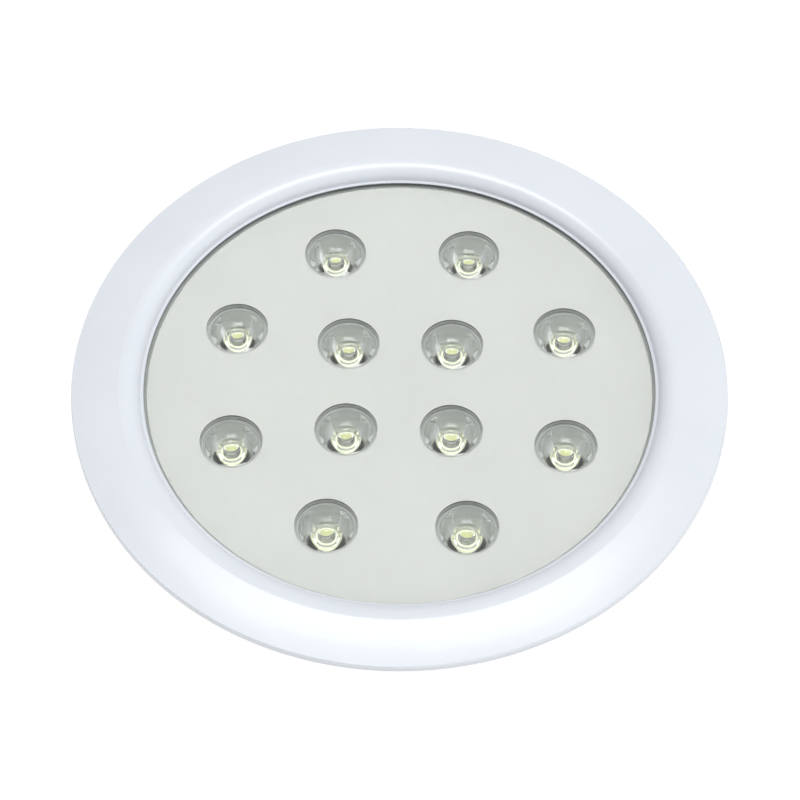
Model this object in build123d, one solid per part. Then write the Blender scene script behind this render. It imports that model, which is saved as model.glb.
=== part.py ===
"""Underwater pool light: a round white face ring over a glass front, twelve LEDs with clear collimators
behind a pierced mask, a sealed rear housing with the driver and cable gland, and a wall bracket that it
twists on to.

Millimetres. The origin is the centre of the bracket's wall face. +Z points out of the wall, along the beam.
"""

from math import atan, cos, degrees, radians, sin, sqrt, tan

import os

from build123d import *

# ---------------------------------------------------------------- clearances shared by several pieces
slip = 0.1  # between parts that slide together by hand
thread_slip = 0.05  # radial, around a plain-modelled screw shank
touch_gap = 0.1  # between faces that nearly touch
overcut = 1.0  # a cutting shape's run past the face that it opens
root = 1.0  # how far a boss, leg or wall is sunk into the wall that carries it

# ---------------------------------------------------------------- face ring
opening_radius = 89.8  # the ring's lip, around the visible glass
lip_ledge = 1.1  # flat step around the lip, inside the roll
lip_thick = 0.35
roll_width = 6.4  # from the ledge out to the crest
crest_rise = 2.9  # crest above the rim's top edge
lip_drop = 1.6  # lip's seat on the glass, below the rim's top edge
band_slope = 6.0  # degrees, where the band leaves the crest
rim_edge = 2.5  # height of the outer edge
rim_round = 0.6
rim_overhang = 2.7  # rim beyond the stiffening skirt
skirt_wall = 2.0
ring_wall = 2.5

# ---------------------------------------------------------------- front glass, gasket and mask
glass_overlap = 6.7  # glass under the lip
glass_thick = 2.0
glass_chamfer = 0.5
gasket_thick = 2.0
gasket_skin = 0.7  # gasket's upstand around the glass edge
gasket_top_room = 0.8  # gasket's upstand below the lip's seat
mask_margin = 1.1  # mask's edge inside the lip
mask_thick = 0.8
mask_window_room = 0.4  # window's edge outside the collimator's flange
mask_rib = 2.2  # width of the rib that carries the mask's edge

# ---------------------------------------------------------------- optics and LEDs
led_edge_margin = 12.0  # from the outer lens holders to the cavity wall
inner_led_spacing = 36.7  # side of the square of the four middle LEDs
outer_led_count = 8
inner_led_count = 4
collimator_flange_radius = 10.6
collimator_flange = 1.2
collimator_ledge = 1.3  # flange beyond the reflecting wall
collimator_wall_angle = 51.0  # degrees, where the reflecting wall leaves the foot
collimator_tir_height = 7.4  # height of the reflecting wall
collimator_foot_wall = 0.8  # width of the foot around the cavity
cavity_room = 0.6  # cavity's mouth outside the LED's dome
cavity_draft = 0.4
cavity_bulge = 0.9
cavity_air = 1.0  # between the dome's top and the cavity's bulged roof
holder_wall = 0.9
holder_bore_room = 1.2  # holder's bore outside the LED's package
holder_gap = 0.6  # holder's cone outside the collimator's chord
holder_seat_room = 0.25  # ledge's inner edge outside the reflecting wall
holder_rim_rise = 0.3  # holder's rim above the collimator's face
package_radius = 4.0
package_height = 2.7
package_chamfer = 0.3
dome_radius = 2.7
lead_span = 14.4
lead_width = 1.2
lead_thick = 0.4
lead_notch_room = 0.5

# ---------------------------------------------------------------- boards, heat sink
board_thick = 1.6
board_margin = 1.0  # board's edge outside the outer lens holders
pad_thick = 0.5
pad_inset = 1.0
sink_thick = 3.2
sink_edge_room = 0.5
sink_ledge = 4.5  # width of the housing ledge under the heat sink
fin_height = 3.0
fin_thick = 2.0
fin_pitch = 12.0
fin_boss_room = 6.0  # between the fins and the housing's bosses
fin_centre_room = 14.0
sink_screw_count = 6
board_screw_room = 4.45  # board screws outside the middle lens holders
board_screw_count = 4
wire_slot_length = 10.0
wire_slot_width = 4.0
slot_fin_room = 1.0  # between the wires' slot and the fins cut back around it

# ---------------------------------------------------------------- rear housing
housing_floor = 3.0
cup_wall = 3.0
flange_thick = 3.0
upstand_wall = 2.5
upstand_top_room = 0.3
ring_boss_radius = 3.8
ring_boss_room = 1.2  # between a ring boss and the housing's upstand
flange_edge_room = 1.2  # flange beyond the ring bosses
skirt_room = 0.4  # between the flange and the ring's skirt
gusset_count = 8
gusset_thick = 2.5
gusset_reach = 7.0
gusset_depth = 22.0
gusset_edge = 1.0  # gusset's height at its outer end
gusset_toe = 0.5  # gusset's reach at its foot
gusset_bite = 1.5
ring_screw_count = 8
sink_boss_radius = 4.0
standoff_radius = 3.2
standoff_height = 4.0
recess_room = 8.5  # for a spanner, around the gland's washer
recess_depth = 13.0
recess_wall = 3.0
floor_chamfer = 2.0

# ---------------------------------------------------------------- driver
driver_length = 84.0
driver_width = 30.0
driver_thick = 1.6
driver_recess_room = 3.0
driver_wall_room = 4.0
driver_corner_inset = 4.0
choke_radius = 8.0
choke_bore_radius = 3.2
choke_height = 7.0
capacitor_radius = 4.0
choke_round = 1.2
capacitor_height = 8.5
capacitor_spread = 5.0  # each capacitor from the board's middle line
capacitor_room = 2.0  # between the choke and the capacitors
capacitor_round = 0.6
chips_x = 10.5
chip_spacing = 8.5
rectifier_size = (8.5, 6.5, 3.0)
regulator_size = (6.6, 6.1, 2.3)
controller_size = (4.9, 3.9, 1.6)
terminal_length = 10.0
terminal_width = 8.0
terminal_height = 9.0
terminal_well_radius = 1.6
terminal_well_depth = 3.0
terminal_mouth = 3.2
terminal_mouth_depth = 2.5
terminal_mouth_rise = 2.0
wire_radius = 0.8
wire_spacing = 5.0
wire_bend = 2.5
wire_run = 7.0
wire_start = 5.0  # wires' start inside the driver board's far edge

# ---------------------------------------------------------------- cable gland
gland_thread_radius = 6.0
gland_thread_length = 8.0
gland_hex_wall = 2.0  # hexagon's flats outside the thread
gland_hex_height = 4.5
gland_washer_thick = 1.5
gland_washer_width = 3.5
gland_nut_length = 11.0
gland_nut_overlap = 5.5
gland_nut_room = 0.5  # between the nut and the body's hexagon
gland_nut_entry = 1.0  # height of the straight mouth in the nut
dome_face = 0.7  # shares of the nut's half width and length, for its domed end
dome_shoulder = 0.9
dome_shoulder_rise = 0.12
dome_rise = 0.4
hexagon_rise = 0.6
gland_mouth_room = 0.7  # nut's mouth outside the cable
gland_stem_wall = 1.0
cable_radius = 3.3
seal_length = 8.5
locknut_hex_wall = 2.5
locknut_thick = 4.5
gland_sink_room = 1.0

# ---------------------------------------------------------------- wall bracket and bayonet
bracket_radius = 75.0
bracket_plate = 3.0
bracket_rim = 2.0
bracket_rim_height = 2.0
conduit_radius = 22.0
wall_screw_circle = 38.0
wall_screw_radius = 2.5
wall_screw_count = 4
countersink_radius = 4.5
bayonet_count = 3
bayonet_first_angle = 90.0
bayonet_room = 6.0  # between the bracket's plate and the housing's floor
lug_inner_radius = 54.0
lug_stem = 3.0
lug_foot = 9.0
lug_sweep = 14.0
lug_thick = 2.0
lug_lift = 0.5  # lug's foot above the bracket's plate
ledge_gap = 0.3  # ledge above the lug's foot
ledge_thick = 2.0
ledge_sweep = 17.0
ledge_wall = 2.0
ledge_room = 1.0  # radial room around the lug
stop_sweep = 2.5
stop_gap_angle = 0.4
slot_edge_room = 0.5
slot_end_room = 0.5  # degrees, at each end of a slot

# ---------------------------------------------------------------- screws
# Each kind is (shank radius, head radius, head height).
ring_screw = (2.0, 3.7, 2.4)
ring_tip_room = 0.4  # a ring screw's tip below the top of its boss
sink_screw = (1.75, 3.2, 2.2)
sink_screw_length = 11.0
pilot_room = 1.0  # below a heat sink screw's tip
board_screw = (1.5, 2.7, 1.8)
board_screw_length = 4.6
driver_screw = (1.25, 2.3, 1.6)
driver_screw_length = 5.0
cross_width = 0.9  # width of a cross recess, as a share of the head's height
cross_depth = 0.6  # depth of a cross recess, as a share of the head's height
cross_length = 1.1  # length of a cross recess, as a share of the head's radius
head_round = 0.4  # rounding of a head's edge, as a share of its height
tip_chamfer = 0.4  # chamfer of a shank's tip, as a share of its radius

# ---------------------------------------------------------------- radii, from the opening outwards
ledge_radius = opening_radius + lip_ledge
crest_radius = ledge_radius + roll_width
mask_radius = opening_radius - mask_margin
cavity_radius = mask_radius - mask_rib
gasket_inner_radius = mask_radius + slip
glass_radius = opening_radius + glass_overlap
gasket_radius = glass_radius + slip + gasket_skin
upstand_inner_radius = gasket_radius + slip
upstand_radius = upstand_inner_radius + upstand_wall
ring_screw_circle = upstand_radius + ring_boss_room + ring_boss_radius
flange_radius = ring_screw_circle + ring_boss_radius + flange_edge_room
skirt_inner_radius = flange_radius + skirt_room
skirt_radius = skirt_inner_radius + skirt_wall
ring_radius = skirt_radius + rim_overhang
sink_radius = cavity_radius - sink_edge_room
lower_radius = cavity_radius - sink_ledge
cup_back_radius = lower_radius + cup_wall
cup_front_radius = cavity_radius + cup_wall * 2
sink_screw_circle = lower_radius - sink_boss_radius / 2
fin_reach = sink_screw_circle - sink_boss_radius - fin_boss_room
holder_radius = collimator_flange_radius + slip + holder_wall
led_circle = cavity_radius - holder_radius - led_edge_margin
board_radius = led_circle + holder_radius + board_margin
pad_radius = board_radius - pad_inset
inner_led_circle = inner_led_spacing / sqrt(2)
board_screw_circle = inner_led_circle + holder_radius + board_screw_room
wire_slot_y = led_circle - wire_slot_width / 2

# ---------------------------------------------------------------- optics, from the LED's dome outwards
cavity_mouth_radius = dome_radius + cavity_room
cavity_top_radius = cavity_mouth_radius - cavity_draft
cavity_depth = dome_radius + cavity_air + cavity_bulge
collimator_foot_radius = cavity_mouth_radius + collimator_foot_wall
collimator_tir_radius = collimator_flange_radius - collimator_ledge
mask_window_radius = collimator_flange_radius + mask_window_room
holder_bore_radius = package_radius + holder_bore_room

# ---------------------------------------------------------------- gland, from its thread outwards
gland_hex = (gland_thread_radius + gland_hex_wall) * 2
gland_bore_radius = gland_thread_radius - gland_stem_wall
gland_mouth_radius = cable_radius + gland_mouth_room
gland_washer_radius = gland_thread_radius + gland_washer_width
locknut_hex = (gland_thread_radius + locknut_hex_wall) * 2
recess_radius = gland_washer_radius + recess_room

# ---------------------------------------------------------------- heights, from the wall outwards
floor_z = bracket_plate + bayonet_room
inner_floor_z = floor_z + housing_floor
recess_roof_z = floor_z + recess_depth
recess_top_z = recess_roof_z + recess_wall
sink_z = recess_roof_z + gland_thread_length + gland_sink_room
pad_z = sink_z + sink_thick
board_z = pad_z + pad_thick
emitter_z = board_z + board_thick
collimator_z = emitter_z + package_height + touch_gap
collimator_seat_z = collimator_z + collimator_tir_height
collimator_top_z = collimator_seat_z + collimator_flange
holder_top_z = collimator_top_z + holder_rim_rise
mask_z = holder_top_z + touch_gap
glass_z = mask_z + mask_thick + touch_gap
glass_top_z = glass_z + glass_thick
gasket_z = glass_z - gasket_thick
ledge_z = glass_top_z + lip_thick
rim_z = glass_top_z + lip_drop
rim_bottom_z = rim_z - rim_edge
flange_top_z = gasket_z - touch_gap * 2
flange_z = flange_top_z - flange_thick
driver_z = inner_floor_z + standoff_height
driver_top_z = driver_z + driver_thick
ring_boss_top_z = glass_top_z + lip_drop
ring_screw_length = ring_boss_top_z - flange_z - ring_tip_room


# ---------------------------------------------------------------- shapes used by several pieces
def disc(radius, low, high, x=0.0, y=0.0):
    """A round bar along Z, from height low to height high."""
    return Pos(x, y, low) * Cylinder(radius, high - low, align=(Align.CENTER, Align.CENTER, Align.MIN))


def washer(outer, inner, low, high, x=0.0, y=0.0):
    """A flat ring along Z."""
    return disc(outer, low, high, x, y) - disc(inner, low - overcut, high + overcut, x, y)


def block(x, y, length, width, low, high):
    """A box centred on x, y."""
    return Pos(x, y, low) * Box(length, width, high - low, align=(Align.CENTER, Align.CENTER, Align.MIN))


def hexagon(across_flats, low, high):
    """A hexagonal bar along Z."""
    return Pos(0, 0, low) * extrude(RegularPolygon(across_flats / 2, 6, major_radius=False), high - low)


def turned(points):
    """A solid turned about Z from (radius, height) points."""
    return revolve(Plane.XZ * make_face(Polyline(*points, close=True)), Axis.Z)


def turned_edges(edges):
    """A solid turned about Z from joined edges drawn in (radius, height)."""
    return revolve(Plane.XZ * make_face(edges), Axis.Z)


def sector(inner, outer, low, high, middle_angle, sweep):
    """Part of a flat ring, sweep degrees wide about middle_angle."""
    section = Polyline((inner, low), (outer, low), (outer, high), (inner, high), close=True)
    return Rot(0, 0, middle_angle - sweep / 2) * revolve(Plane.XZ * make_face(section), Axis.Z, sweep)


def around(count, radius, first_angle=0.0):
    """The x, y points of count places on a circle."""
    angles = [radians(first_angle + 360 / count * k) for k in range(count)]
    return [(radius * cos(a), radius * sin(a)) for a in angles]


def together(solids):
    """Separate solids that share one node."""
    return Compound(children=[s.solid() for s in solids])


def screw(kind, length, x, y, head_z, head_up=True):
    """A pan-head screw with a cross recess. head_z is the face that its head bears on."""
    shank_radius, head_radius, head_height = kind
    head = disc(head_radius, 0, head_height)
    head = fillet(head.edges().sort_by(Axis.Z)[-1], head_height * head_round)
    arm = head_height * cross_width
    recess_z = head_height * (1 - cross_depth)
    cross = block(0, 0, head_radius * cross_length, arm, recess_z, head_height + overcut)
    for turn in (0, 90):
        head -= Rot(0, 0, turn) * cross
    shank = chamfer(disc(shank_radius, -length, 0).edges().sort_by(Axis.Z)[0], shank_radius * tip_chamfer)
    flip = Rot(0, 0, 0) if head_up else Rot(180, 0, 0)
    return Pos(x, y, head_z) * flip * (head + shank)


# ---------------------------------------------------------------- places of the LEDs and screws
inner_leds = around(inner_led_count, inner_led_circle, 180 / inner_led_count)
outer_leds = around(outer_led_count, led_circle, 180 / outer_led_count)
led_places = outer_leds + inner_leds
ring_screws_at = around(ring_screw_count, ring_screw_circle, 180 / ring_screw_count)
sink_screws_at = around(sink_screw_count, sink_screw_circle)
board_screws_at = around(board_screw_count, board_screw_circle, 180 / board_screw_count)
driver_y = recess_radius + recess_wall + driver_recess_room + driver_width / 2
driver_far_y = driver_y + driver_width / 2
driver_room = sqrt((lower_radius - driver_wall_room) ** 2 - driver_far_y**2)
driver_half = min(driver_length / 2, driver_room)
choke_x = -driver_half + driver_corner_inset * 2 + standoff_radius + choke_radius
driver_screws_at = [
    (side * (driver_half - driver_corner_inset), driver_y + end * (driver_width / 2 - driver_corner_inset))
    for side in (-1, 1)
    for end in (-1, 1)
]


# ---------------------------------------------------------------- front
def band_height(radius):
    """Roughly the ring's top surface at a radius between the crest and the rim."""
    return rim_z + crest_rise * (ring_radius - radius) / (ring_radius - crest_radius)


def face_ring():
    """The white ring: thin flat lip, rolled crest, sloping band, skirt, and bosses for the screws."""
    roll_height = crest_rise + lip_drop - lip_thick
    past_crest = atan(tan(radians(band_slope)) * roll_width / roll_height)
    past = degrees(past_crest)
    roll = EllipticalCenterArc(
        (crest_radius, ledge_z), roll_width, roll_height, start_angle=90 - past, arc_size=90 + past
    )
    band_start = (crest_radius + roll_width * sin(past_crest), ledge_z + roll_height * cos(past_crest))
    rim_top = (ring_radius - rim_round, rim_z)
    rim_side = (ring_radius, rim_z - rim_round)
    slope = radians(band_slope)
    band = TangentArc(band_start, rim_top, tangent=(cos(slope), -sin(slope)))
    edge = TangentArc(rim_side, rim_top, tangent=(0, 1))
    seat_radius = upstand_radius + touch_gap
    under_z = band_height(skirt_inner_radius) - ring_wall
    under = Polyline(
        rim_side,
        (ring_radius, rim_bottom_z),
        (skirt_radius, rim_bottom_z),
        (skirt_radius, flange_top_z + touch_gap),
        (skirt_inner_radius, flange_top_z + touch_gap),
        (skirt_inner_radius, under_z),
        (seat_radius, glass_top_z),
        (opening_radius, glass_top_z),
        (opening_radius, ledge_z),
        (ledge_radius, ledge_z),
    )
    ring = turned_edges(roll.edges() + band.edges() + edge.edges() + under.edges())
    for x, y in ring_screws_at:
        ring += disc(ring_boss_radius, flange_top_z, ring_boss_top_z, x, y)
    for x, y in ring_screws_at:
        pilot_top_z = flange_z + ring_screw_length + touch_gap
        ring -= disc(ring_screw[0] + thread_slip, flange_top_z - overcut, pilot_top_z, x, y)
    return ring


def front_glass():
    """The clear front, held between the ring's lip and the gasket."""
    glass = disc(glass_radius, glass_z, glass_top_z)
    return chamfer(glass.edges(), glass_chamfer)


def lens_gasket():
    """The L-shaped silicone seal under and around the glass."""
    return turned(
        [
            (gasket_inner_radius, gasket_z),
            (gasket_radius, gasket_z),
            (gasket_radius, glass_top_z - gasket_top_room),
            (glass_radius + slip, glass_top_z - gasket_top_room),
            (glass_radius + slip, glass_z),
            (gasket_inner_radius, glass_z),
        ]
    )


def mask_plate():
    """The pale plate behind the glass, with a round window over each LED."""
    plate = disc(mask_radius, mask_z, mask_z + mask_thick)
    for x, y in led_places:
        plate -= disc(mask_window_radius, mask_z - overcut, mask_z + mask_thick + overcut, x, y)
    return plate


# ---------------------------------------------------------------- optics
def collimator(x, y):
    """A clear total-internal-reflection lens with a flat face, a flange and a cavity over the LED."""
    foot = (collimator_foot_radius, collimator_z)
    wall_top = (collimator_tir_radius, collimator_seat_z)
    cavity_z = collimator_z + cavity_depth
    wall_angle = radians(collimator_wall_angle)
    wall = TangentArc(foot, wall_top, tangent=(cos(wall_angle), sin(wall_angle)))
    rim = Polyline(
        wall_top,
        (collimator_flange_radius, collimator_seat_z),
        (collimator_flange_radius, collimator_top_z),
        (0, collimator_top_z),
        (0, cavity_z - cavity_bulge),
    )
    bulge = TangentArc((0, cavity_z - cavity_bulge), (cavity_top_radius, cavity_z), tangent=(1, 0))
    mouth = Polyline((cavity_top_radius, cavity_z), (cavity_mouth_radius, collimator_z), foot)
    return Pos(x, y, 0) * turned_edges(wall.edges() + rim.edges() + bulge.edges() + mouth.edges())


def lens_holder(x, y):
    """The cup that carries a collimator over its LED, notched at its base for the LED's leads."""
    chord = atan(collimator_tir_height / (collimator_tir_radius - collimator_foot_radius))
    cone_shift = holder_gap / sin(chord)
    seat_radius = collimator_tir_radius + holder_seat_room
    bore_z = collimator_z + (holder_bore_radius - collimator_foot_radius - cone_shift) * tan(chord)
    neck_z = collimator_z + (seat_radius - collimator_foot_radius - cone_shift) * tan(chord)
    cup = turned(
        [
            (holder_bore_radius, emitter_z),
            (holder_radius, emitter_z),
            (holder_radius, holder_top_z),
            (collimator_flange_radius + slip, holder_top_z),
            (collimator_flange_radius + slip, collimator_seat_z),
            (seat_radius, collimator_seat_z),
            (seat_radius, neck_z),
            (holder_bore_radius, bore_z),
        ]
    )
    notch_top = emitter_z + lead_thick + lead_notch_room
    notch_length = (holder_radius + overcut) * 2
    cup -= block(0, 0, notch_length, lead_width + lead_notch_room * 2, emitter_z - overcut, notch_top)
    return Pos(x, y, 0) * cup


def emitter(x, y):
    """A one-watt LED: a round package with two flat leads, and its clear dome as a second solid."""
    top = emitter_z + package_height
    package = chamfer(disc(package_radius, emitter_z, top).edges().sort_by(Axis.Z)[-1], package_chamfer)
    package += block(0, 0, lead_span, lead_width, emitter_z, emitter_z + lead_thick)
    outline = ThreePointArc(
        (dome_radius, top),
        (dome_radius * cos(radians(45)), top + dome_radius * sin(radians(45))),
        (0, top + dome_radius),
    )
    base = Polyline((0, top + dome_radius), (0, top), (dome_radius, top))
    dome = turned_edges(outline.edges() + base.edges())
    return Pos(x, y, 0) * together([package, dome])


# ---------------------------------------------------------------- boards and heat sink
def wire_slot(low, high):
    """The slot that the LED leads pass through."""
    return block(0, wire_slot_y, wire_slot_length, wire_slot_width, low, high)


def led_board():
    """The aluminium-core board that carries the LEDs."""
    board = disc(board_radius, board_z, emitter_z) - wire_slot(board_z - overcut, emitter_z + overcut)
    for x, y in board_screws_at:
        board -= disc(board_screw[0] + slip * 2, board_z - overcut, emitter_z + overcut, x, y)
    return board


def thermal_pad():
    """The soft pad between the LED board and the heat sink."""
    pad = disc(pad_radius, pad_z, board_z) - wire_slot(pad_z - overcut, board_z + overcut)
    for x, y in board_screws_at:
        pad -= disc(board_screw[0] + slip * 5, pad_z - overcut, board_z + overcut, x, y)
    return pad


def heat_sink():
    """The cast disc under the board, with straight fins on its back."""
    low = sink_z - fin_height
    rows = int((fin_reach - fin_pitch / 2) // fin_pitch)
    comb = block(0, 0, fin_reach * 2, fin_thick, low, sink_z)
    for row in range(1, rows + 1):
        for side in (-1, 1):
            comb += block(0, side * fin_pitch * row, fin_reach * 2, fin_thick, low, sink_z)
    comb &= disc(fin_reach, low, sink_z)
    slot_length = wire_slot_length + slot_fin_room * 2
    slot_width = wire_slot_width + slot_fin_room * 2
    comb -= disc(fin_centre_room, low - overcut, sink_z + overcut)
    comb -= block(0, wire_slot_y, slot_length, slot_width, low - overcut, sink_z + overcut)
    plate = disc(sink_radius, sink_z, pad_z) - wire_slot(sink_z - overcut, pad_z + overcut)
    for x, y in sink_screws_at:
        plate -= disc(sink_screw[0] + slip, sink_z - overcut, pad_z + overcut, x, y)
    for x, y in board_screws_at:
        pilot = disc(board_screw[0] + thread_slip, low - overcut, pad_z + overcut, x, y)
        plate -= pilot
        comb -= pilot
    return plate.fuse(*comb.solids())


# ---------------------------------------------------------------- rear housing
def cup_outer(height):
    """The tapered cup's outer radius at a height."""
    share = (height - floor_z) / (flange_z - floor_z)
    return cup_back_radius + (cup_front_radius - cup_back_radius) * share


def gusset(angle):
    """A web between the cup's wall and the underside of its flange."""
    low = flange_z - gusset_depth
    web = Polyline(
        (cup_outer(flange_z) - gusset_bite, flange_z + touch_gap),
        (cup_outer(flange_z) + gusset_reach, flange_z + touch_gap),
        (cup_outer(flange_z) + gusset_reach, flange_z - gusset_edge),
        (cup_outer(low) + gusset_toe, low),
        (cup_outer(low) - gusset_bite, low),
        close=True,
    )
    return Rot(0, 0, angle) * extrude(Plane.XZ * make_face(web), gusset_thick / 2, both=True)


def bayonet_lug(angle):
    """An L-shaped lug under the housing floor: a stem, and a foot that slides under the bracket's ledge."""
    foot_z = bracket_plate + lug_lift
    stem_radius = lug_inner_radius + lug_stem
    stem = sector(lug_inner_radius, stem_radius, foot_z, floor_z + root, angle, lug_sweep)
    foot = sector(lug_inner_radius, lug_inner_radius + lug_foot, foot_z, foot_z + lug_thick, angle, lug_sweep)
    return stem + foot


def rear_housing():
    """The sealed cup: flange, glass seat, mask rib, sink ledge, gland recess, bosses and bayonet lugs."""
    cup = turned(
        [
            (recess_radius, floor_z),
            (cup_back_radius - floor_chamfer, floor_z),
            (cup_outer(floor_z + floor_chamfer), floor_z + floor_chamfer),
            (cup_front_radius, flange_z),
            (flange_radius, flange_z),
            (flange_radius, flange_top_z),
            (upstand_radius, flange_top_z),
            (upstand_radius, glass_top_z - upstand_top_room),
            (upstand_inner_radius, glass_top_z - upstand_top_room),
            (upstand_inner_radius, gasket_z),
            (mask_radius, gasket_z),
            (mask_radius, mask_z),
            (cavity_radius, mask_z),
            (cavity_radius, sink_z),
            (lower_radius, sink_z),
            (lower_radius, inner_floor_z),
            (recess_radius + recess_wall, inner_floor_z),
            (recess_radius + recess_wall, recess_top_z),
            (gland_thread_radius + slip, recess_top_z),
            (gland_thread_radius + slip, recess_roof_z),
            (recess_radius, recess_roof_z),
        ]
    )
    for k in range(gusset_count):
        cup += gusset(360 / gusset_count * k)
    for k in range(bayonet_count):
        cup += bayonet_lug(bayonet_first_angle + 360 / bayonet_count * k)
    for x, y in sink_screws_at:
        cup += disc(sink_boss_radius, inner_floor_z - root, sink_z, x, y)
    for x, y in driver_screws_at:
        cup += disc(standoff_radius, inner_floor_z - root, driver_z, x, y)
    for x, y in sink_screws_at:
        pilot_z = pad_z - sink_screw_length - pilot_room
        cup -= disc(sink_screw[0] + thread_slip, pilot_z, sink_z + overcut, x, y)
    for x, y in driver_screws_at:
        pilot_z = driver_top_z - driver_screw_length - touch_gap
        cup -= disc(driver_screw[0] + thread_slip, pilot_z, driver_z + overcut, x, y)
    for x, y in ring_screws_at:
        cup -= disc(ring_screw[0] + slip * 2, flange_z - overcut, flange_top_z + overcut, x, y)
    return cup


# ---------------------------------------------------------------- driver
def driver_board():
    """The driver's circuit board, on the housing's standoffs."""
    board = block(0, driver_y, driver_half * 2, driver_width, driver_z, driver_top_z)
    for x, y in driver_screws_at:
        board -= disc(driver_screw[0] + slip * 2, driver_z - overcut, driver_top_z + overcut, x, y)
    return board


def driver_choke():
    """A toroidal choke lying flat on the driver board."""
    top_z = driver_top_z + choke_height
    core = washer(choke_radius, choke_bore_radius, driver_top_z, top_z, choke_x, driver_y)
    return fillet(core.edges().filter_by(GeomType.CIRCLE), choke_round)


def driver_capacitors():
    """Two electrolytic capacitors standing on the driver board."""
    x = choke_x + choke_radius + capacitor_room + capacitor_radius
    top_z = driver_top_z + capacitor_height
    cans = []
    for side in (-1, 1):
        can = disc(capacitor_radius, driver_top_z, top_z, x, driver_y + side * capacitor_spread)
        cans.append(fillet(can.edges().sort_by(Axis.Z)[-1], capacitor_round))
    return together(cans)


def driver_chips():
    """The controller, rectifier and current regulator, in a row across the driver board."""
    chips = []
    for place, (length, width, height) in enumerate((controller_size, rectifier_size, regulator_size)):
        y = driver_y + (place - 1) * chip_spacing
        chips.append(block(chips_x, y, length, width, driver_top_z, driver_top_z + height))
    return together(chips)


def terminal_block():
    """The two-way terminal block for the supply, with its wire mouths and screw wells."""
    x = driver_half - driver_corner_inset * 2 - standoff_radius - terminal_length / 2
    top_z = driver_top_z + terminal_height
    mouth_z = driver_top_z + terminal_mouth_rise
    mouth_y = driver_y - terminal_width / 2
    body = block(x, driver_y, terminal_length, terminal_width, driver_top_z, top_z)
    mouth_top_z = mouth_z + terminal_mouth
    for side in (-1, 1):
        well_x = x + side * terminal_length / 4
        body -= disc(terminal_well_radius, top_z - terminal_well_depth, top_z + overcut, well_x, driver_y)
        body -= block(well_x, mouth_y, terminal_mouth, terminal_mouth_depth * 2, mouth_z, mouth_top_z)
    return body


def led_leads():
    """The two insulated wires from the driver up through the slot to the LED board."""
    low = driver_top_z + wire_radius + thread_slip
    high = emitter_z + wire_radius + thread_slip
    wires = []
    for side in (-1, 1):
        x = side * wire_spacing / 2
        route = [
            (x, driver_far_y - wire_start, low),
            (x, wire_slot_y, low),
            (x, wire_slot_y, high),
            (x, wire_slot_y + wire_run, high),
        ]
        path = FilletPolyline(*route, radius=wire_bend)
        section = Plane(origin=path @ 0, z_dir=path % 0) * Circle(wire_radius)
        wires.append(sweep(section, path))
    return together(wires)


# ---------------------------------------------------------------- cable gland
gland_top_z = recess_roof_z + gland_thread_length
gland_hex_top_z = recess_roof_z - gland_washer_thick
gland_hex_z = gland_hex_top_z - gland_hex_height
gland_nut_top_z = gland_hex_z - gland_nut_room
gland_nut_z = gland_nut_top_z - gland_nut_length
gland_stem_z = gland_nut_top_z - gland_nut_overlap
seal_z = gland_hex_z - seal_length


def gland_body():
    """The gland's body: a hexagon under the recess roof, with a threaded stem on each side."""
    body = hexagon(gland_hex, gland_hex_z, gland_hex_top_z)
    body += disc(gland_thread_radius, gland_stem_z, gland_top_z)
    body -= disc(gland_bore_radius, gland_stem_z - overcut, gland_hex_z)
    return body - disc(cable_radius + slip * 5, gland_stem_z - overcut, gland_top_z + overcut)


def gland_nut():
    """The domed nut that squeezes the seal on to the cable."""
    nut = hexagon(gland_hex, gland_nut_z + gland_nut_length / 2, gland_nut_top_z)
    face_radius = gland_hex / 2
    dome = turned(
        [
            (0, gland_nut_z),
            (face_radius * dome_face, gland_nut_z),
            (face_radius * dome_shoulder, gland_nut_z + gland_nut_length * dome_shoulder_rise),
            (face_radius, gland_nut_z + gland_nut_length * dome_rise),
            (face_radius, gland_nut_z + gland_nut_length * hexagon_rise),
            (0, gland_nut_z + gland_nut_length * hexagon_rise),
        ]
    )
    bore_z = gland_stem_z - gland_nut_entry
    hollow = turned(
        [
            (0, gland_nut_z - overcut),
            (gland_mouth_radius, gland_nut_z - overcut),
            (gland_mouth_radius, gland_nut_z + gland_nut_entry),
            (gland_bore_radius + slip, seal_z - touch_gap),
            (gland_bore_radius + slip, bore_z),
            (gland_thread_radius + thread_slip, bore_z),
            (gland_thread_radius + thread_slip, gland_nut_top_z + overcut),
            (0, gland_nut_top_z + overcut),
        ]
    )
    return nut + dome - hollow


def gland_seal():
    """The rubber sleeve that grips the cable inside the gland."""
    return washer(gland_bore_radius - thread_slip, cable_radius, seal_z, gland_hex_z - touch_gap)


def gland_washer():
    """The rubber washer between the gland and the recess roof."""
    return washer(gland_washer_radius, gland_thread_radius + slip, gland_hex_top_z, recess_roof_z)


def gland_locknut():
    """The nut inside the housing that draws the gland tight."""
    top_z = recess_top_z + locknut_thick
    nut = hexagon(locknut_hex, recess_top_z, top_z)
    return nut - disc(gland_thread_radius + thread_slip, recess_top_z - overcut, top_z + overcut)


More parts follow.
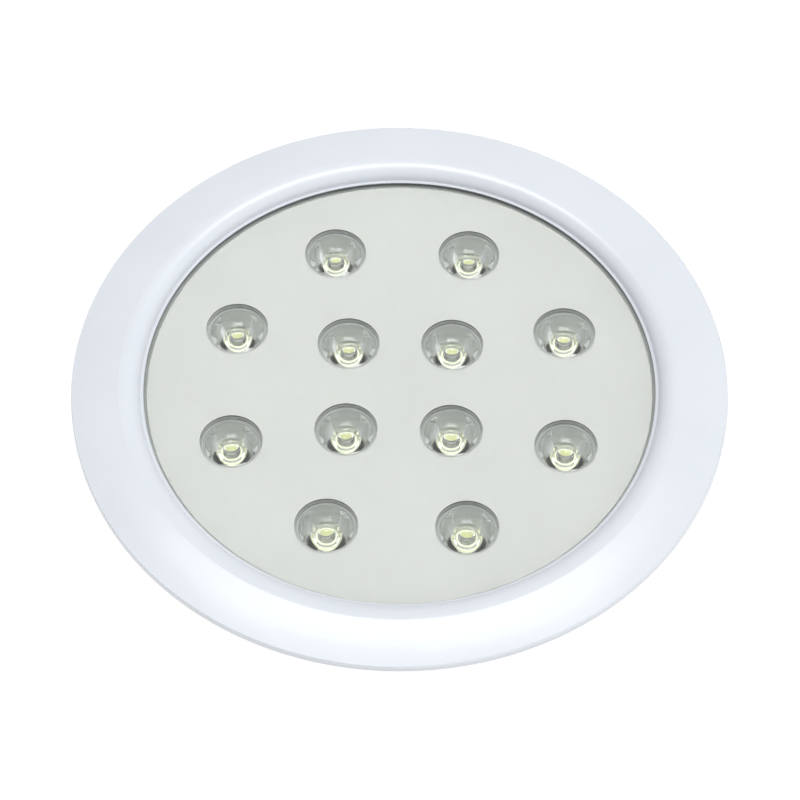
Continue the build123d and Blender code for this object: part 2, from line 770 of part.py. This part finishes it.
# ---------------------------------------------------------------- wall bracket
def bracket_ledge(angle):
    """One ledge of the bayonet: an arm over the lug's foot, its outer wall and the stop for the twist."""
    foot_z = bracket_plate + lug_lift
    ledge_z = foot_z + lug_thick + ledge_gap
    inner = lug_inner_radius + lug_stem + ledge_room
    wall_inner = lug_inner_radius + lug_foot + ledge_room
    outer = wall_inner + ledge_wall
    middle = angle + (ledge_sweep - lug_sweep) / 2 - stop_gap_angle
    arm = sector(inner, outer, ledge_z, ledge_z + ledge_thick, middle, ledge_sweep)
    wall = sector(wall_inner, outer, bracket_plate - root, ledge_z + ledge_thick, middle, ledge_sweep)
    stop_middle = angle - lug_sweep / 2 - stop_gap_angle - stop_sweep / 2
    stop = sector(inner, outer, bracket_plate - root, ledge_z + ledge_thick, stop_middle, stop_sweep)
    return arm + wall + stop


def wall_bracket():
    """The round plate that screws to the wall, with three ledges for the housing's lugs."""
    slot_inner = lug_inner_radius + lug_stem + ledge_room - slot_edge_room
    slot_outer = lug_inner_radius + lug_foot + ledge_room - slot_edge_room
    slot_top_z = bracket_plate + lug_lift / 2
    slot_sweep = ledge_sweep - slot_end_room * 2
    plate = washer(bracket_radius, conduit_radius, 0, bracket_plate)
    plate += washer(bracket_radius, bracket_radius - bracket_rim, 0, bracket_plate + bracket_rim_height)
    for k in range(bayonet_count):
        angle = bayonet_first_angle + 360 / bayonet_count * k
        plate += bracket_ledge(angle)
        slot_angle = angle + (ledge_sweep - lug_sweep) / 2
        plate -= sector(slot_inner, slot_outer, -overcut, slot_top_z, slot_angle, slot_sweep)
    sink_depth = countersink_radius - wall_screw_radius
    for x, y in around(wall_screw_count, wall_screw_circle, 45):
        hole = disc(wall_screw_radius, -overcut, bracket_plate + overcut)
        cone = Pos(0, 0, bracket_plate - sink_depth) * Cone(
            wall_screw_radius,
            countersink_radius + overcut,
            sink_depth + overcut,
            align=(Align.CENTER, Align.CENTER, Align.MIN),
        )
        plate -= Pos(x, y, 0) * (hole + cone)
    return plate


# ---------------------------------------------------------------- write every node
def build():
    """Every node's name and shape."""
    nodes = {
        "wall_bracket": wall_bracket(),
        "rear_housing": rear_housing(),
        "face_ring": face_ring(),
        "front_glass": front_glass(),
        "lens_gasket": lens_gasket(),
        "mask_plate": mask_plate(),
        "led_board": led_board(),
        "thermal_pad": thermal_pad(),
        "heat_sink": heat_sink(),
        "led_leads": led_leads(),
        "driver_board": driver_board(),
        "driver_choke": driver_choke(),
        "driver_capacitors": driver_capacitors(),
        "driver_chips": driver_chips(),
        "terminal_block": terminal_block(),
        "gland_body": gland_body(),
        "gland_nut": gland_nut(),
        "gland_seal": gland_seal(),
        "gland_washer": gland_washer(),
        "gland_locknut": gland_locknut(),
    }
    for number, (x, y) in enumerate(led_places, 1):
        nodes[f"collimator_{number:02d}"] = collimator(x, y)
        nodes[f"lens_holder_{number:02d}"] = lens_holder(x, y)
        nodes[f"emitter_{number:02d}"] = emitter(x, y)
    nodes["ring_screws"] = together(
        [screw(ring_screw, ring_screw_length, x, y, flange_z, head_up=False) for x, y in ring_screws_at]
    )
    nodes["sink_screws"] = together(
        [screw(sink_screw, sink_screw_length, x, y, pad_z) for x, y in sink_screws_at]
    )
    nodes["board_screws"] = together(
        [screw(board_screw, board_screw_length, x, y, emitter_z) for x, y in board_screws_at]
    )
    nodes["driver_screws"] = together(
        [screw(driver_screw, driver_screw_length, x, y, driver_top_z) for x, y in driver_screws_at]
    )
    return nodes


if __name__ == "__main__":
    os.makedirs("parts", exist_ok=True)
    for name, shape in build().items():
        export_step(shape, f"parts/{name}.step")
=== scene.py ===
"""Looks for the underwater pool light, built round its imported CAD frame. Metres, +Z along the beam."""

import math

import bmesh
import bpy
from mathutils import Matrix, Vector


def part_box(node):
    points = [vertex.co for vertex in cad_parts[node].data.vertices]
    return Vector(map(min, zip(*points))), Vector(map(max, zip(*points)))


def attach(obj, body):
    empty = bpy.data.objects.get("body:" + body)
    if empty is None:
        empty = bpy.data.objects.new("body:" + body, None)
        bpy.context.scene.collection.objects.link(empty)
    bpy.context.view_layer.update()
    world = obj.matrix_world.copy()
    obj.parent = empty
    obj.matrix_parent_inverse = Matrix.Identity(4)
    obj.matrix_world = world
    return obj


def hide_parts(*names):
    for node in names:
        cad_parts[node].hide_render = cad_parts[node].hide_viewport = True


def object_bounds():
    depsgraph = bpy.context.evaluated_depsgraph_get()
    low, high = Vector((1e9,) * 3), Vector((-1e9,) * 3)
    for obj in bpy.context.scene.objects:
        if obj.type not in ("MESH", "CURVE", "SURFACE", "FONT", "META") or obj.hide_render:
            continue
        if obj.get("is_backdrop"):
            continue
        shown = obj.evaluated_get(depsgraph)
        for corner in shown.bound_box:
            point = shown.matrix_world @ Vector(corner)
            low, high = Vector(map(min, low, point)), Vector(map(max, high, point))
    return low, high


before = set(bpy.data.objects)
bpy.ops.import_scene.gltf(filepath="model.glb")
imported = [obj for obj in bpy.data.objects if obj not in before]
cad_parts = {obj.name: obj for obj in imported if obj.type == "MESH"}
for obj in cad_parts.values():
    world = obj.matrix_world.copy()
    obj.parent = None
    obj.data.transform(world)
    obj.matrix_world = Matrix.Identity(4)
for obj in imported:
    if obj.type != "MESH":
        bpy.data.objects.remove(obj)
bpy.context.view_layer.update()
MM = 0.001


# ------------------------------------------------------------------ node helpers
def new_material(name):
    """An empty node material with its Principled node."""
    mat = bpy.data.materials.new(name)
    mat.use_nodes = True
    nodes = mat.node_tree.nodes
    return mat, nodes, mat.node_tree.links, nodes["Principled BSDF"]


def noise(nodes, links, scale, detail=3.0, rough=0.55, stretch=None):
    """A noise texture in the row frame, in features per metre."""
    coord = nodes.new("ShaderNodeTexCoord")
    tex = nodes.new("ShaderNodeTexNoise")
    tex.inputs["Scale"].default_value = scale
    tex.inputs["Detail"].default_value = detail
    tex.inputs["Roughness"].default_value = rough
    if stretch is None:
        links.new(coord.outputs["Object"], tex.inputs["Vector"])
        return tex
    mapping = nodes.new("ShaderNodeMapping")
    mapping.inputs["Scale"].default_value = stretch
    links.new(coord.outputs["Object"], mapping.inputs["Vector"])
    links.new(mapping.outputs["Vector"], tex.inputs["Vector"])
    return tex


def ramp(nodes, links, source, stops):
    """A colour ramp over source. Stops are (place, colour)."""
    node = nodes.new("ShaderNodeValToRGB")
    while len(node.color_ramp.elements) < len(stops):
        node.color_ramp.elements.new(0.5)
    for element, (place, colour) in zip(node.color_ramp.elements, stops):
        element.position = place
        element.color = (*colour, 1.0)
    links.new(source, node.inputs["Fac"])
    return node.outputs["Color"]


def map_range(nodes, links, source, low, high):
    """Noise's usual spread, 0.3 to 0.7, mapped to low..high."""
    node = nodes.new("ShaderNodeMapRange")
    node.inputs["From Min"].default_value = 0.3
    node.inputs["From Max"].default_value = 0.7
    node.inputs["To Min"].default_value = low
    node.inputs["To Max"].default_value = high
    links.new(source, node.inputs["Value"])
    return node.outputs["Result"]


def bump(nodes, links, source, bsdf, strength, distance):
    """Raises the surface where source is high."""
    node = nodes.new("ShaderNodeBump")
    node.inputs["Strength"].default_value = strength
    node.inputs["Distance"].default_value = distance
    links.new(source, node.inputs["Height"])
    links.new(node.outputs["Normal"], bsdf.inputs["Normal"])


def plastic(name, light, dark, rough, grain, depth, rough_spread=0.05, patch=30.0):
    """Moulded plastic: two close tints in soft patches, a fine surface grain and uneven gloss."""
    mat, nodes, links, bsdf = new_material(name)
    patches = noise(nodes, links, patch)
    colour = ramp(nodes, links, patches.outputs["Fac"], [(0.35, dark), (0.65, light)])
    links.new(colour, bsdf.inputs["Base Color"])
    fine = noise(nodes, links, grain, 4.0)
    spread = map_range(nodes, links, fine.outputs["Fac"], rough - rough_spread, rough + rough_spread)
    links.new(spread, bsdf.inputs["Roughness"])
    bump(nodes, links, fine.outputs["Fac"], bsdf, 0.5, depth)
    return mat


def tint_and_shade_below(mat, split_z, below):
    """Tints everything on a piece that lies lower than split_z, such as the painted shade on a plate's cut
    edges.
    """
    nodes, links = mat.node_tree.nodes, mat.node_tree.links
    bsdf = nodes["Principled BSDF"]
    face = bsdf.inputs["Base Color"].links[0].from_socket
    coord = nodes.new("ShaderNodeTexCoord")
    split = nodes.new("ShaderNodeSeparateXYZ")
    links.new(coord.outputs["Object"], split.inputs["Vector"])
    test = nodes.new("ShaderNodeMath")
    test.operation = "LESS_THAN"
    test.inputs[1].default_value = split_z
    links.new(split.outputs["Z"], test.inputs[0])
    mix = nodes.new("ShaderNodeMixRGB")
    mix.blend_type = "MIX"
    mix.inputs["Color2"].default_value = (*below, 1.0)
    links.new(test.outputs["Value"], mix.inputs["Fac"])
    links.new(face, mix.inputs["Color1"])
    links.new(mix.outputs["Color"], bsdf.inputs["Base Color"])


def glow_through(mat, weight, reach):
    """Lets light creep up to reach (mm) through a milky material."""
    bsdf = mat.node_tree.nodes["Principled BSDF"]
    bsdf.inputs["Subsurface Weight"].default_value = weight
    bsdf.inputs["Subsurface Radius"].default_value = (1.0, 1.0, 1.0)
    bsdf.inputs["Subsurface Scale"].default_value = reach * MM


def paint_lead_shade(mat, top, spread):
    """Paints shade on both sides of a holder's foot, where the LED's leads run out. top is a share of its
    height.
    """
    nodes, links = mat.node_tree.nodes, mat.node_tree.links
    bsdf = nodes["Principled BSDF"]
    tinted = bsdf.inputs["Base Color"].links[0].from_socket

    def math_node(operation, a, b):
        node = nodes.new("ShaderNodeMath")
        node.operation = operation
        for socket, value in zip(node.inputs, (a, b)):
            if isinstance(value, float):
                socket.default_value = value
            else:
                links.new(value, socket)
        return node.outputs["Value"]

    coord = nodes.new("ShaderNodeTexCoord")
    split = nodes.new("ShaderNodeSeparateXYZ")
    links.new(coord.outputs["Generated"], split.inputs["Vector"])
    across = math_node("ABSOLUTE", math_node("SUBTRACT", split.outputs["X"], 0.5), 0.0)
    along = math_node("ABSOLUTE", math_node("SUBTRACT", split.outputs["Y"], 0.5), 0.0)
    side = math_node("LESS_THAN", along, math_node("MULTIPLY", across, spread))
    inside = math_node("MULTIPLY", side, math_node("LESS_THAN", split.outputs["Z"], top))
    # The painted shade: near-black patches on the sides of the holder's foot.
    mix = nodes.new("ShaderNodeMixRGB")
    mix.inputs["Color2"].default_value = (0.04, 0.042, 0.04, 1.0)
    links.new(inside, mix.inputs["Fac"])
    links.new(tinted, mix.inputs["Color1"])
    links.new(mix.outputs["Color"], bsdf.inputs["Base Color"])


def metal(name, light, dark, rough, stretch, scale, depth, metallic=1.0):
    """Metal with a drawn or cast grain."""
    mat, nodes, links, bsdf = new_material(name)
    bsdf.inputs["Metallic"].default_value = metallic
    grain = noise(nodes, links, scale, 5.0, 0.6, stretch)
    colour = ramp(nodes, links, grain.outputs["Fac"], [(0.3, dark), (0.7, light)])
    links.new(colour, bsdf.inputs["Base Color"])
    spread = map_range(nodes, links, grain.outputs["Fac"], rough - 0.08, rough + 0.08)
    links.new(spread, bsdf.inputs["Roughness"])
    bump(nodes, links, grain.outputs["Fac"], bsdf, 0.4, depth)
    return mat


def clear(name, tint, ior):
    """Clear glass, acrylic or silicone resin that bends sight, with a faint uneven tint."""
    mat, nodes, links, bsdf = new_material(name)
    bsdf.inputs["Transmission Weight"].default_value = 1.0
    bsdf.inputs["IOR"].default_value = ior
    bsdf.inputs["Roughness"].default_value = 0.0
    haze = noise(nodes, links, 220.0, 2.0)
    near = tuple(0.985 * c for c in tint)
    links.new(ramp(nodes, links, haze.outputs["Fac"], [(0.3, near), (0.7, tint)]), bsdf.inputs["Base Color"])
    return mat


def pane(name, tint, ior, lamp_tint):
    """A clear sheet that also lets lamps straight through to what is behind it."""
    mat = clear(name, tint, ior)
    nodes, links = mat.node_tree.nodes, mat.node_tree.links
    path = nodes.new("ShaderNodeLightPath")
    through = nodes.new("ShaderNodeBsdfTransparent")
    through.inputs["Color"].default_value = (*lamp_tint, 1.0)
    mix = nodes.new("ShaderNodeMixShader")
    links.new(path.outputs["Is Shadow Ray"], mix.inputs["Fac"])
    links.new(nodes["Principled BSDF"].outputs["BSDF"], mix.inputs[1])
    links.new(through.outputs["BSDF"], mix.inputs[2])
    links.new(mix.outputs["Shader"], nodes["Material Output"].inputs["Surface"])
    return mat


# ------------------------------------------------------------------ materials
ring_white = plastic("ring_white", (0.787, 0.815, 0.862), (0.767, 0.795, 0.842), 0.24, 900.0, 0.000004, 0.03)
mask_pale = plastic("mask_pale", (0.552, 0.545, 0.525), (0.537, 0.53, 0.51), 0.62, 1400.0, 0.000006)
glass_clear = pane("glass_clear", (0.985, 1.0, 0.992), 1.5, (0.94, 0.96, 0.95))
acrylic = pane("acrylic", (0.985, 0.99, 0.98), 1.49, (0.9, 0.91, 0.89))
holder_grey = plastic("holder_grey", (0.45, 0.45, 0.44), (0.41, 0.41, 0.40), 0.42, 1200.0, 0.000005)

# Painted shade: the lip's thin edge is darkened, the plate's cut edges and underside run black to grey, and
# each holder's foot is darkened where the leads run out. A holder is paler below its rim.
glass_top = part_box("front_glass")[1].z
plate_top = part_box("mask_plate")[1].z
holder_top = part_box("lens_holder_01")[1].z
# Painted shade on the ring's lip edge and ledge, everything below the glass top plus 0.4 mm.
tint_and_shade_below(ring_white, glass_top + 0.4 * MM, (0.72, 0.745, 0.785))
tint_and_shade_below(holder_grey, holder_top - 1.7 * MM, (0.60, 0.60, 0.58))
# Painted shade at both sides of each holder's foot, where the leads run out.
paint_lead_shade(holder_grey, 0.34, 0.8)
# Painted shade on the plate's cut edges and underside: black just under the face, grey lower down.
tint_and_shade_below(mask_pale, plate_top - 0.02 * MM, (0.03, 0.035, 0.03))
tint_and_shade_below(mask_pale, plate_top - 0.35 * MM, (0.34, 0.35, 0.34))

silicone = plastic("silicone", (0.78, 0.79, 0.77), (0.74, 0.75, 0.73), 0.6, 800.0, 0.00001)
glow_through(silicone, 0.7, 4.0)
housing_dark = plastic("housing_dark", (0.085, 0.09, 0.10), (0.07, 0.075, 0.085), 0.55, 1100.0, 0.00002, 0.07)
bracket_grey = plastic("bracket_grey", (0.56, 0.58, 0.60), (0.50, 0.52, 0.54), 0.5, 1100.0, 0.00002, 0.06)
gland_nylon = plastic("gland_nylon", (0.40, 0.41, 0.41), (0.35, 0.36, 0.36), 0.4, 1500.0, 0.00001)
rubber = plastic("rubber", (0.03, 0.03, 0.03), (0.02, 0.02, 0.02), 0.8, 1600.0, 0.00002)
board_white = plastic("board_white", (0.93, 0.93, 0.90), (0.88, 0.88, 0.85), 0.35, 700.0, 0.000006)
pad_grey = plastic("pad_grey", (0.30, 0.34, 0.40), (0.26, 0.30, 0.36), 0.85, 1200.0, 0.00002)
board_green = plastic("board_green", (0.015, 0.13, 0.05), (0.010, 0.09, 0.035), 0.3, 900.0, 0.00001)
chip_black = plastic("chip_black", (0.02, 0.02, 0.021), (0.012, 0.012, 0.013), 0.5, 2500.0, 0.00001)
terminal_green = plastic("terminal_green", (0.03, 0.22, 0.08), (0.02, 0.17, 0.06), 0.4, 1200.0, 0.00001)
wire_red = plastic("wire_red", (0.45, 0.02, 0.015), (0.38, 0.015, 0.01), 0.4, 900.0, 0.00001)
sleeve_black = plastic("sleeve_black", (0.02, 0.022, 0.035), (0.012, 0.014, 0.022), 0.3, 900.0, 0.00001)
copper = metal("copper", (0.72, 0.34, 0.14), (0.55, 0.22, 0.08), 0.3, (1, 1, 12), 400.0, 0.00004)
cast_aluminium = metal(
    "cast_aluminium", (0.62, 0.63, 0.64), (0.52, 0.53, 0.54), 0.45, (1, 1, 1), 700.0, 0.00003
)
stainless = metal("stainless", (0.62, 0.61, 0.60), (0.52, 0.51, 0.50), 0.28, (1, 1, 6), 1500.0, 0.00001)
package_white = plastic("package_white", (0.99, 0.99, 0.78), (0.97, 0.97, 0.74), 0.4, 1500.0, 0.000003)
phosphor = plastic("phosphor", (0.95, 0.95, 0.52), (0.93, 0.92, 0.44), 0.55, 4000.0, 0.000004)
reflector = metal("reflector", (0.86, 0.86, 0.84), (0.80, 0.80, 0.78), 0.12, (1, 1, 1), 1500.0, 0.000002)
dome_clear = pane("dome_clear", (0.99, 0.99, 0.97), 1.41, (0.9, 0.9, 0.88))

CAD_LOOKS = {
    "wall_bracket": bracket_grey,
    "rear_housing": housing_dark,
    "face_ring": ring_white,
    "front_glass": glass_clear,
    "lens_gasket": silicone,
    "mask_plate": mask_pale,
    "led_board": board_white,
    "thermal_pad": pad_grey,
    "heat_sink": cast_aluminium,
    "led_leads": wire_red,
    "driver_board": board_green,
    "driver_choke": copper,
    "driver_capacitors": sleeve_black,
    "driver_chips": chip_black,
    "terminal_block": terminal_green,
    "gland_body": gland_nylon,
    "gland_nut": gland_nylon,
    "gland_seal": rubber,
    "gland_washer": rubber,
    "gland_locknut": gland_nylon,
    "ring_screws": stainless,
    "sink_screws": stainless,
    "board_screws": stainless,
    "driver_screws": stainless,
}
LED_COUNT = 12
LED_NUMBERS = [f"{k:02d}" for k in range(1, LED_COUNT + 1)]
for number in LED_NUMBERS:
    CAD_LOOKS[f"collimator_{number}"] = acrylic
    CAD_LOOKS[f"lens_holder_{number}"] = holder_grey
    CAD_LOOKS[f"emitter_{number}"] = package_white
for node, material in CAD_LOOKS.items():
    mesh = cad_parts[node].data
    mesh.materials.clear()
    mesh.materials.append(material)


# ------------------------------------------------------------------ turned meshes
def lathe(name, parts, segments=96):
    """A mesh turned about Z, in parts (points, closed, material index). Points are (radius, height), mm."""
    bm = bmesh.new()
    for points, closed, slot in parts:
        rings = []
        for radius, height in points:
            if radius < 1e-6:
                rings.append([bm.verts.new((0, 0, height * MM))])
                continue
            ring = []
            for k in range(segments):
                a = 2 * math.pi * k / segments
                x, y = radius * MM * math.cos(a), radius * MM * math.sin(a)
                ring.append(bm.verts.new((x, y, height * MM)))
            rings.append(ring)
        pairs = list(zip(rings, rings[1:]))
        if closed:
            pairs.append((rings[-1], rings[0]))
        for low, high in pairs:
            if len(low) == 1 and len(high) == 1:
                continue
            for k in range(segments):
                n = (k + 1) % segments
                corners = [low[k % len(low)], low[n % len(low)], high[n % len(high)], high[k % len(high)]]
                face = bm.faces.new(list(dict.fromkeys(corners)))
                face.material_index = slot
                face.smooth = True
    bmesh.ops.recalc_face_normals(bm, faces=bm.faces)
    for edge in bm.edges:
        if len(edge.link_faces) == 2 and edge.calc_face_angle(0) > math.radians(30):
            edge.smooth = False
    mesh = bpy.data.meshes.new(name)
    bm.to_mesh(mesh)
    bm.free()
    return mesh


def arc(start, end, start_angle, steps):
    """Points along the circle that leaves start at start_angle (degrees) and reaches end."""
    (x0, y0), (x1, y1) = start, end
    tx, ty = math.cos(math.radians(start_angle)), math.sin(math.radians(start_angle))
    dx, dy = x1 - x0, y1 - y0
    side = -ty * dx + tx * dy
    if abs(side) < 1e-9:
        return [start, end]
    r = (dx * dx + dy * dy) / (2 * side)
    cx, cy = x0 - r * ty, y0 + r * tx
    a0 = math.atan2(y0 - cy, x0 - cx)
    a1 = math.atan2(y1 - cy, x1 - cx)
    if r > 0 and a1 < a0:
        a1 += 2 * math.pi
    if r < 0 and a1 > a0:
        a1 -= 2 * math.pi
    angles = [a0 + (a1 - a0) * k / steps for k in range(steps + 1)]
    return [(cx + abs(r) * math.cos(a), cy + abs(r) * math.sin(a)) for a in angles]


def add_piece(name, mesh, materials, body, place=(0, 0, 0)):
    """Puts a mesh in the scene as a piece that rides on a body."""
    for material in materials:
        if len(mesh.materials) < len(materials):
            mesh.materials.append(material)
    piece = bpy.data.objects.new(name, mesh)
    bpy.context.scene.collection.objects.link(piece)
    piece.location = place
    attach(piece, body)
    return piece


# ------------------------------------------------------------------ LED optics
COLLIMATOR = {"foot": 4.1, "wall": 9.3, "wall_rise": 7.4, "flange": 10.6, "flange_rise": 1.2}
CAVITY = {"mouth": 3.3, "top": 2.9, "depth": 4.6, "bulge": 0.9}


def collimator_mesh():
    """The clear lens: total-reflection wall, flange, flat face and the domed cavity over the LED."""
    c, v = COLLIMATOR, CAVITY
    top = c["wall_rise"] + c["flange_rise"]
    wall = arc((c["foot"], 0.0), (c["wall"], c["wall_rise"]), 51, 24)
    bulge = arc((0.0, v["depth"] - v["bulge"]), (v["top"], v["depth"]), 0, 12)
    outline = wall + [
        (c["flange"], c["wall_rise"]),
        (c["flange"], top - 0.15),
        (c["flange"] - 0.15, top),
        (0.0, top),
    ]
    outline += bulge + [(v["mouth"], 0.0)]
    return lathe("collimator", [(outline, True, 0)], 128)


def emitter_mesh():
    """The LED: white package, silvered cup, phosphor disc and clear dome."""
    package = [
        (0.0, 0.0), (3.9, 0.0), (4.0, 0.1), (4.0, 2.3), (3.7, 2.7), (3.05, 2.7), (3.0, 2.6), (2.75, 2.55),
    ]
    cup = [(2.75, 2.55), (2.0, 2.3)]
    disc = [(2.0, 2.3), (1.9, 2.42), (1.4, 2.5), (0.0, 2.52)]
    dome = arc((2.72, 2.6), (0.0, 5.35), 90, 20)
    return lathe("emitter", [(package, False, 0), (cup, False, 1), (disc, False, 2), (dome, False, 3)], 96)


collimator_shape = collimator_mesh()
emitter_shape = emitter_mesh()
for number in LED_NUMBERS:
    low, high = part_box(f"collimator_{number}")
    x, y = (low.x + high.x) / 2, (low.y + high.y) / 2
    lens = add_piece(
        f"clear_collimator_{number}", collimator_shape, [acrylic], "lamp", (x, y, low.z)
    )
    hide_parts(f"collimator_{number}")
    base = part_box(f"emitter_{number}")[0].z
    parts = [package_white, reflector, phosphor, dome_clear]
    led = add_piece(f"led_{number}", emitter_shape, parts, "lamp", (x, y, base))
    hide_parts(f"emitter_{number}")


# ------------------------------------------------------------------ stage, lights and camera
def flat_mesh(name, half):
    """A square sheet, 2 * half across."""
    bm = bmesh.new()
    bmesh.ops.create_grid(bm, x_segments=8, y_segments=8, size=half)
    mesh = bpy.data.meshes.new(name)
    bm.to_mesh(mesh)
    bm.free()
    return mesh


floor_paint, _, _, floor_bsdf = new_material("floor_paint")
floor_bsdf.inputs["Base Color"].default_value = (0.08, 0.08, 0.08, 1)
floor_bsdf.inputs["Roughness"].default_value = 0.9
floor_bsdf.inputs["Emission Color"].default_value = (1, 1, 0.995, 1)
floor_bsdf.inputs["Emission Strength"].default_value = 0.97
floor = bpy.data.objects.new("floor", flat_mesh("floor", 4.0))
floor.data.materials.append(floor_paint)
bpy.context.scene.collection.objects.link(floor)
floor.location = (0, 0, -0.0005)
floor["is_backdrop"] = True


def area_light(name, place, size, power):
    """A cool rectangular lamp that is aimed at the front of the light."""
    data = bpy.data.lights.new(name, "AREA")
    data.shape = "RECTANGLE"
    data.size, data.size_y = size
    data.energy = power
    data.color = LAMP_COLOUR
    light = bpy.data.objects.new(name, data)
    bpy.context.scene.collection.objects.link(light)
    light.location = place
    aim = Vector(LAMP_TARGET) - Vector(place)
    light.rotation_euler = aim.to_track_quat("-Z", "Y").to_euler()


LAMP_COLOUR = (0.98, 0.99, 1.0)
LAMP_TARGET = (0, 0, 0.05)
area_light("softbox", (0.0, 0.42, 1.9), (1.3, 0.54), 15.5)
area_light("overhead", (0.0, 0.0, 2.05), (0.7, 0.7), 1.5)

world = bpy.data.worlds.new("studio")
bpy.context.scene.world = world
world.use_nodes = True
background = world.node_tree.nodes["Background"]
background.inputs["Color"].default_value = (0.97, 0.985, 1.0, 1)
sky = world.node_tree.nodes
sky_links = world.node_tree.links


def sky_range(source, start, end, low, high):
    """A smooth step of brightness between two values of source."""
    node = sky.new("ShaderNodeMapRange")
    node.interpolation_type = "SMOOTHSTEP"
    node.inputs["From Min"].default_value = start
    node.inputs["From Max"].default_value = end
    node.inputs["To Min"].default_value = low
    node.inputs["To Max"].default_value = high
    sky_links.new(source, node.inputs["Value"])
    return node.outputs["Result"]


# The studio is bright overhead, and dimmer at the horizon, left, back and behind the photographer.
TO_PHOTOGRAPHER = (0.0, -0.571, 0.821)
sky_coord = sky.new("ShaderNodeTexCoord")
sky_axes = sky.new("ShaderNodeSeparateXYZ")
sky_links.new(sky_coord.outputs["Generated"], sky_axes.inputs["Vector"])
sky_side = sky.new("ShaderNodeVectorMath")
sky_side.operation = "DOT_PRODUCT"
sky_side.inputs[1].default_value = TO_PHOTOGRAPHER
sky_links.new(sky_coord.outputs["Generated"], sky_side.inputs[0])
sky_level = sky_range(sky_axes.outputs["Z"], 0.0, 0.6, 0.45, 0.88)
for share in (
    sky_range(sky_side.outputs["Value"], 0.6, 0.94, 1.0, 0.64),
    sky_range(sky_axes.outputs["X"], -0.9, 0.9, 0.65, 1.35),
    sky_range(sky_axes.outputs["Y"], -0.9, 0.9, 1.25, 0.55),
):
    product = sky.new("ShaderNodeMath")
    product.operation = "MULTIPLY"
    sky_links.new(sky_level, product.inputs[0])
    sky_links.new(share, product.inputs[1])
    sky_level = product.outputs["Value"]
sky_links.new(sky_level, background.inputs["Strength"])

RIM_Z = 0.0526
ELEVATION = math.radians(55.2)
AZIMUTH = math.radians(0.97)
DISTANCE = 1.157
LENS_MM = 148.545
SENSOR_MM = 36.0
AIM_DOWN = math.radians(0.31069)
AIM_RIGHT = math.radians(0.00868)

camera_data = bpy.data.cameras.new("camera")
camera_data.sensor_width = SENSOR_MM
camera_data.lens = LENS_MM
camera_data.clip_start = 0.05
camera = bpy.data.objects.new("camera", camera_data)
bpy.context.scene.collection.objects.link(camera)
back = Vector(
    (
        math.sin(AZIMUTH) * math.cos(ELEVATION),
        -math.cos(AZIMUTH) * math.cos(ELEVATION),
        math.sin(ELEVATION),
    )
)
camera.rotation_mode = "QUATERNION"
aim = (-back).to_track_quat("-Z", "Y")
aim = aim @ Matrix.Rotation(-AIM_DOWN, 4, "X").to_quaternion()
aim = aim @ Matrix.Rotation(-AIM_RIGHT, 4, "Y").to_quaternion()
camera.location = Vector((0, 0, RIM_Z)) + back * DISTANCE
camera.rotation_quaternion = aim
bpy.context.scene.camera = camera
bpy.context.scene.view_settings.view_transform = "Standard"

# Light inside a collimator is reflected many times before it leaves.
bpy.context.scene.cycles.max_bounces = 32
bpy.context.scene.cycles.glossy_bounces = 24
bpy.context.scene.cycles.transmission_bounces = 24

low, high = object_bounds()
